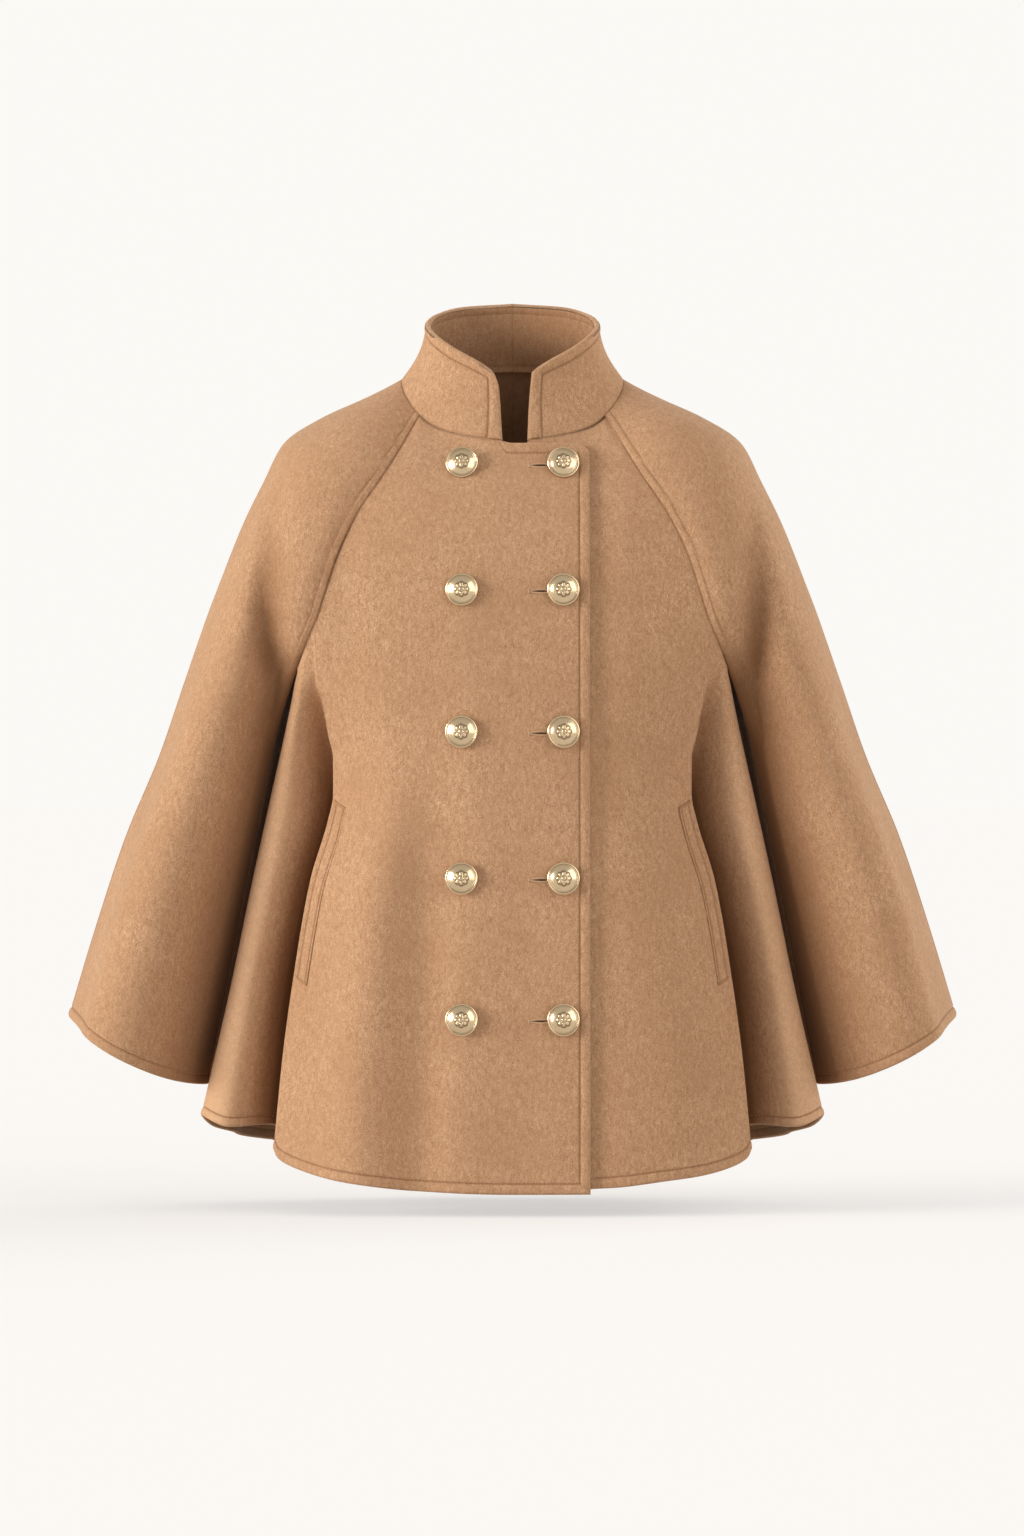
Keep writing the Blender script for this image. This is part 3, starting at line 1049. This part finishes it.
class Graph:
    def __init__(self, name):
        self.material = bpy.data.materials.new(name)
        self.material.use_nodes = True
        self.tree = self.material.node_tree
        self.shader = self.tree.nodes["Principled BSDF"]

    def node(self, kind, settings=None, values=None, output=0):
        made = self.tree.nodes.new(kind)
        for key, value in (settings or {}).items():
            if key == "stops":
                ramp = made.color_ramp
                while len(ramp.elements) < len(value):
                    ramp.elements.new(0.5)
                for element, (place, colour) in zip(ramp.elements, value):
                    element.position = place
                    element.color = colour
            else:
                setattr(made, key, value)
        for key, value in (values or {}).items():
            self.feed(made.inputs[key], value)
        return Socket(self, made.outputs[output])

    def feed(self, socket, value):
        if isinstance(value, Socket):
            self.tree.links.new(value.link, socket)
        else:
            socket.default_value = value

    def set(self, **values):
        for key, value in values.items():
            self.feed(self.shader.inputs[key.replace("_", " ")], value)

    def noise(self, place, scale, detail=2.0, rough=0.5, bend=0.0):
        values = {"Vector": place, "Scale": scale, "Detail": detail, "Roughness": rough, "Distortion": bend}
        return self.node("ShaderNodeTexNoise", {}, values)

    def mix(self, factor, first, second):
        made = self.tree.nodes.new("ShaderNodeMix")
        made.data_type = "RGBA"
        self.feed(made.inputs["Factor"], factor)
        self.feed(made.inputs["A"], first)
        self.feed(made.inputs["B"], second)
        return Socket(self, made.outputs["Result"])


woolLook = {
    "dark": (0.330, 0.170, 0.085, 1), "middle": (0.490, 0.279, 0.153, 1), "light": (0.690, 0.445, 0.280, 1),
    "cloud": (0.415, 0.225, 0.117, 1), "seam": (0.190, 0.080, 0.030, 1), "deep": (0.050, 0.020, 0.008, 1),
    "lit": (0.900, 0.570, 0.345, 1), "stops": (0.41, 0.5, 0.61), "sheen": 0.22,
    "sheenTint": (1.0, 0.84, 0.66, 1), "bump": 0.30,
    "clumps": (330.0, 3.0, 0.6, 0.8), "strands": (760.0, 3.0, 0.7, 2.4), "fine": (2300.0, 2.0, 0.6),
    "patches": (17.0, 2.0, 0.5, 0.5), "patchFrom": 0.32, "patchGain": 1.1,
    "mottle": (0.22, 0.5, 0.28), "relief": (0.5, 0.6, 0.35),   # shares of the clumps, strands and fine nap
    "seamShare": 0.78, "deepFrom": 1.0, "deepGain": 2.0, "litShare": -0.6,
}
napLeans = {   # which way the nap lies, and how long it is across its lie
    "stretched": {"Rotation": (0.1, 0.6, 0.35), "Scale": (1, 1, 0.5)},
    "leaning": {"Rotation": (0.2, -0.85, 0.1), "Scale": (1, 1, 0.42)},
}


def woolMaterial():
    g = Graph("wool")
    place = g.node("ShaderNodeTexCoord", {}, {}, output=3)
    stretched = g.node("ShaderNodeMapping", {}, {"Vector": place, **napLeans["stretched"]})
    leaning = g.node("ShaderNodeMapping", {}, {"Vector": place, **napLeans["leaning"]})
    clumps = g.noise(stretched, *woolLook["clumps"])
    strands = g.noise(leaning, *woolLook["strands"])
    fine = g.noise(stretched, *woolLook["fine"])
    cloud = g.noise(place, *woolLook["patches"])
    a, b, c = woolLook["mottle"]
    mottle = clumps * a + strands * b + fine * c
    stops = list(zip(woolLook["stops"], (woolLook["dark"], woolLook["middle"], woolLook["light"])))
    tone = g.node("ShaderNodeValToRGB", {"stops": stops}, {"Fac": mottle})
    clouded = g.mix((cloud - woolLook["patchFrom"]) * woolLook["patchGain"], tone, woolLook["cloud"])
    shade = g.node("ShaderNodeAttribute", {"attribute_name": "depthShade"}, {}, output=2)
    shaded = g.mix(shade * woolLook["seamShare"], clouded, woolLook["seam"])
    deepened = g.mix((shade - woolLook["deepFrom"]) * woolLook["deepGain"], shaded, woolLook["deep"])
    colour = g.mix(shade * woolLook["litShare"], deepened, woolLook["lit"])   # lit cloth's shade is below 0
    a, b, c = woolLook["relief"]
    height = clumps * a + strands * b + fine * c
    bump = g.node("ShaderNodeBump", {}, {"Strength": woolLook["bump"], "Distance": 0.0008, "Height": height})
    g.set(Base_Color=colour, Roughness=0.92, Normal=bump, Specular_IOR_Level=0.15)
    g.set(Sheen_Weight=woolLook["sheen"], Sheen_Roughness=0.45, Sheen_Tint=woolLook["sheenTint"])
    return g.material


threadLook = {
    "thread": (0.470, 0.255, 0.130, 1), "twist": (0.640, 0.400, 0.235, 1), "slit": (0.090, 0.042, 0.020, 1),
    "strands": (2600.0, 2.0, 0.6), "strandShare": 0.5, "darker": 0.55,
}


def threadMaterial(name):
    g = Graph(name)
    colour = threadLook[name]
    strands = g.noise(g.node("ShaderNodeTexCoord", output=3), *threadLook["strands"])
    darker = tuple(threadLook["darker"] * c for c in colour[:3]) + (1,)
    colour = g.mix(strands * threadLook["strandShare"], colour, darker)
    g.set(Base_Color=colour, Roughness=0.7, Specular_IOR_Level=0.25)
    return g.material


brassLook = {
    "gold": (0.930, 0.745, 0.500, 1), "worn": (0.820, 0.600, 0.350, 1), "antique": (0.170, 0.095, 0.040, 1),
    "wear": (260.0, 4.0, 0.6), "scratches": (1500.0, 3.0, 0.7), "polish": 0.14,
    "wornShare": 0.7, "antiqueShare": 0.9, "wornRough": 0.14, "antiqueRough": 0.25, "scratchShare": 0.4,
}


def brassMaterial():
    g = Graph("brass")
    place = g.node("ShaderNodeTexCoord", {}, {}, output=3)
    wear = g.noise(place, *brassLook["wear"])
    scratches = g.noise(place, *brassLook["scratches"])
    shade = g.node("ShaderNodeAttribute", {"attribute_name": "depthShade"}, {}, output=2)
    gold = g.mix(wear * brassLook["wornShare"], brassLook["gold"], brassLook["worn"])
    colour = g.mix(shade * brassLook["antiqueShare"], gold, brassLook["antique"])
    height = wear + scratches * brassLook["scratchShare"]
    bump = g.node("ShaderNodeBump", {}, {"Strength": 0.12, "Distance": 0.0002, "Height": height})
    rough = wear * brassLook["wornRough"] + shade * brassLook["antiqueRough"] + brassLook["polish"]
    g.set(Base_Color=colour, Metallic=1.0, Normal=bump, Roughness=rough)
    return g.material


finishes = [
    (woolMaterial(), clothPieces), (brassMaterial(), buttonPieces), (threadMaterial("thread"), threadPieces),
    (threadMaterial("twist"), [rimPiece]), (threadMaterial("slit"), [slitPiece]),
]
for material, pieces in finishes:
    for piece in pieces:
        piece.data.materials.append(material)
print("materials ready")


# camera, light and floor

# the photo's height in pixels, its mm to a pixel, its middle in mm and the camera's distance in metres
photo = {"high": 1536, "scale": 0.88, "middleX": -0.44, "middleZ": -337.0, "away": 6.0, "sensor": 36.0}
cameraData = bpy.data.cameras.new("camera")
camera = bpy.data.objects.new("camera", cameraData)
bpy.context.scene.collection.objects.link(camera)
cameraData.sensor_width = photo["sensor"]
cameraData.lens = photo["sensor"] * photo["away"] / (photo["high"] * photo["scale"] * mm)
camera.location = (photo["middleX"] * mm, -photo["away"], photo["middleZ"] * mm)
camera.rotation_euler = (math.radians(90), 0, 0)
bpy.context.scene.camera = camera

bpy.context.scene.view_settings.view_transform = "Standard"

studio = {
    "backdrop": (0.965, 0.947, 0.913, 1), "ambient": 0.48, "ambientTint": (1.0, 0.97, 0.93, 1),
    "key": {"energy": 4.0, "spread": 36.0, "turn": (82, 0, -72), "tint": (1.0, 0.97, 0.92)},
    "fill": {"energy": 1.5, "spread": 70.0, "turn": (80, 0, 58), "tint": (1.0, 0.97, 0.93)},
    "rear": {"energy": 1.3, "spread": 45.0, "turn": (68, 0, 125), "tint": (1.0, 0.98, 0.95)},
    "floorLevel": -0.722, "floorReach": 60.0, "floorPale": (0.42, 0.412, 0.40, 1),
    "floorSeen": (0.565, 0.560, 0.556, 1), "floorCast": (0.26, 0.25, 0.235, 1),
}


def makeWorld():
    world = bpy.data.worlds.new("studio")
    bpy.context.scene.world = world
    world.use_nodes = True
    nodes, links = world.node_tree.nodes, world.node_tree.links
    nodes.clear()
    out = nodes.new("ShaderNodeOutputWorld")
    light = nodes.new("ShaderNodeBackground")
    seen = nodes.new("ShaderNodeBackground")
    mixed = nodes.new("ShaderNodeMixShader")
    path = nodes.new("ShaderNodeLightPath")
    light.inputs["Color"].default_value = studio["ambientTint"]
    light.inputs["Strength"].default_value = studio["ambient"]
    seen.inputs["Color"].default_value = studio["backdrop"]
    links.new(path.outputs["Is Camera Ray"], mixed.inputs[0])
    links.new(light.outputs[0], mixed.inputs[1])
    links.new(seen.outputs[0], mixed.inputs[2])
    links.new(mixed.outputs[0], out.inputs[0])


def makeLight(name):   # a broad soft light, far away
    look = studio[name]
    data = bpy.data.lights.new(name, "SUN")
    data.energy = look["energy"]
    data.angle = math.radians(look["spread"])
    data.color = look["tint"]
    light = bpy.data.objects.new(name, data)
    light.rotation_euler = [math.radians(a) for a in look["turn"]]
    bpy.context.scene.collection.objects.link(light)


def makeFloor():
    reach, level = studio["floorReach"], studio["floorLevel"]
    mesh = bpy.data.meshes.new("floor")
    corners = [(-reach, -reach, level), (reach, -reach, level), (reach, reach, level), (-reach, reach, level)]
    mesh.from_pydata(corners, [], [(0, 1, 2, 3)])
    floor = bpy.data.objects.new("floor", mesh)
    bpy.context.scene.collection.objects.link(floor)
    g = Graph("floor")
    seen = g.node("ShaderNodeLightPath")   # its first output: is the ray the camera's own
    g.set(Base_Color=studio["floorPale"], Roughness=1.0, Specular_IOR_Level=0.0,
          Emission_Color=g.mix(seen, studio["floorCast"], studio["floorSeen"]), Emission_Strength=1.0)
    floor.data.materials.append(g.material)


makeWorld()
for name in ("key", "fill", "rear"):
    makeLight(name)
makeFloor()
print("stage ready")
